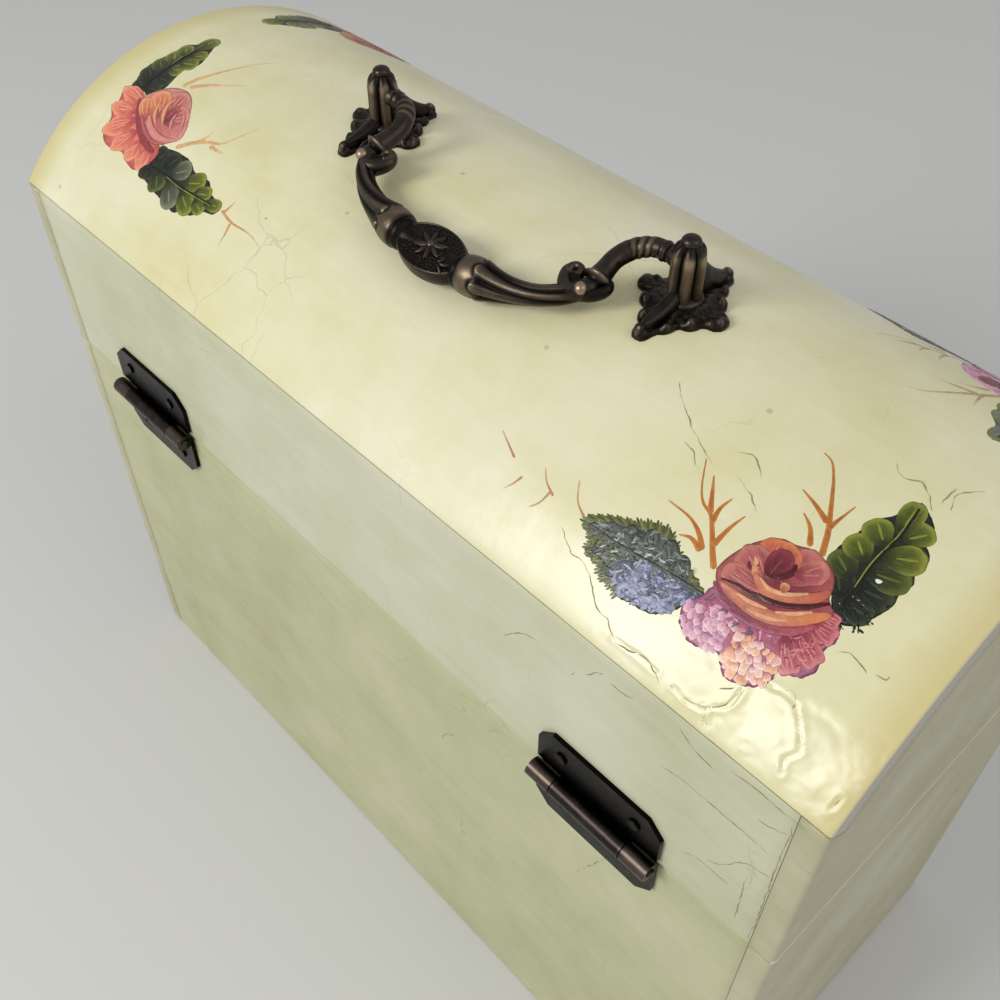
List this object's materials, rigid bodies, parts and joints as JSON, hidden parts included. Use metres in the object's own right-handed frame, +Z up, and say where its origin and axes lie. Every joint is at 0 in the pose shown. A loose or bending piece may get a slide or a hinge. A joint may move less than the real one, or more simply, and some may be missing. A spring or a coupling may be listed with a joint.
{
  "type": "domed keepsake box",
  "caption": "Domed lacquered keepsake box with rounded lid, rear butt hinges, a bail handle on two posts and a front swing hook.",
  "frame": {"origin": "centre of the underside that the box stands on", "axes": "+X along the box towards its right end as seen from the front, +Y towards the hinges, +Z up"},
  "size_m": [0.27, 0.1313, 0.2416],
  "materials": {
    "cream_lacquer": "thin board under pale cream lacquer, glossy on the dome and satin on the walls",
    "dark_bronze": "near-black bronzed steel",
    "antique_brass": "antique brass, rubbed brown on the high spots",
    "bright_steel": "zinc-plated"
  },
  "bodies": {
    "box": {"box_front": "cream_lacquer", "box_rear": "cream_lacquer", "box_left_end": "cream_lacquer", "box_right_end": "cream_lacquer", "box_floor": "cream_lacquer", "hinge_left_lower_leaf": "dark_bronze", "hinge_right_lower_leaf": "dark_bronze", "hinge_nails_lower": "dark_bronze", "latch_lower_plate": "dark_bronze", "latch_rivet": "dark_bronze", "latch_nails_lower": "dark_bronze"},
    "lid": {"lid_front_rail": "cream_lacquer", "lid_rear_rail": "cream_lacquer", "lid_left_end": "cream_lacquer", "lid_right_end": "cream_lacquer", "lid_dome": "cream_lacquer", "hinge_left_upper_leaf": "dark_bronze", "hinge_right_upper_leaf": "dark_bronze", "hinge_left_pin": "dark_bronze", "hinge_right_pin": "dark_bronze", "hinge_nails_upper": "dark_bronze", "handle_left_plate": "antique_brass", "handle_right_plate": "antique_brass", "handle_left_post": "antique_brass", "handle_right_post": "antique_brass", "handle_screws": "bright_steel", "handle_washers": "bright_steel", "latch_upper_plate": "dark_bronze", "latch_knob": "dark_bronze", "latch_nails_upper": "dark_bronze"},
    "bail": {"handle_bail": "antique_brass"},
    "hook": {"latch_hook": "dark_bronze"}
  },
  "joints": [
    {"name": "lid_hinge", "type": "hinge", "parent": "box", "child": "lid", "pos_m": [0, 0.0627, 0.14265], "axis": [-1, 0, 0], "range_deg": [0, 180]},
    {"name": "bail_swing", "type": "hinge", "parent": "lid", "child": "bail", "pos_m": [0, 0, 0.235], "axis": [1, 0, 0], "range_deg": [0, 218]},
    {"name": "latch_swing", "type": "hinge", "parent": "box", "child": "hook", "pos_m": [0, -0.063, 0.1325], "axis": [0, 1, 0], "range_deg": [-150, 180]}
  ]
}
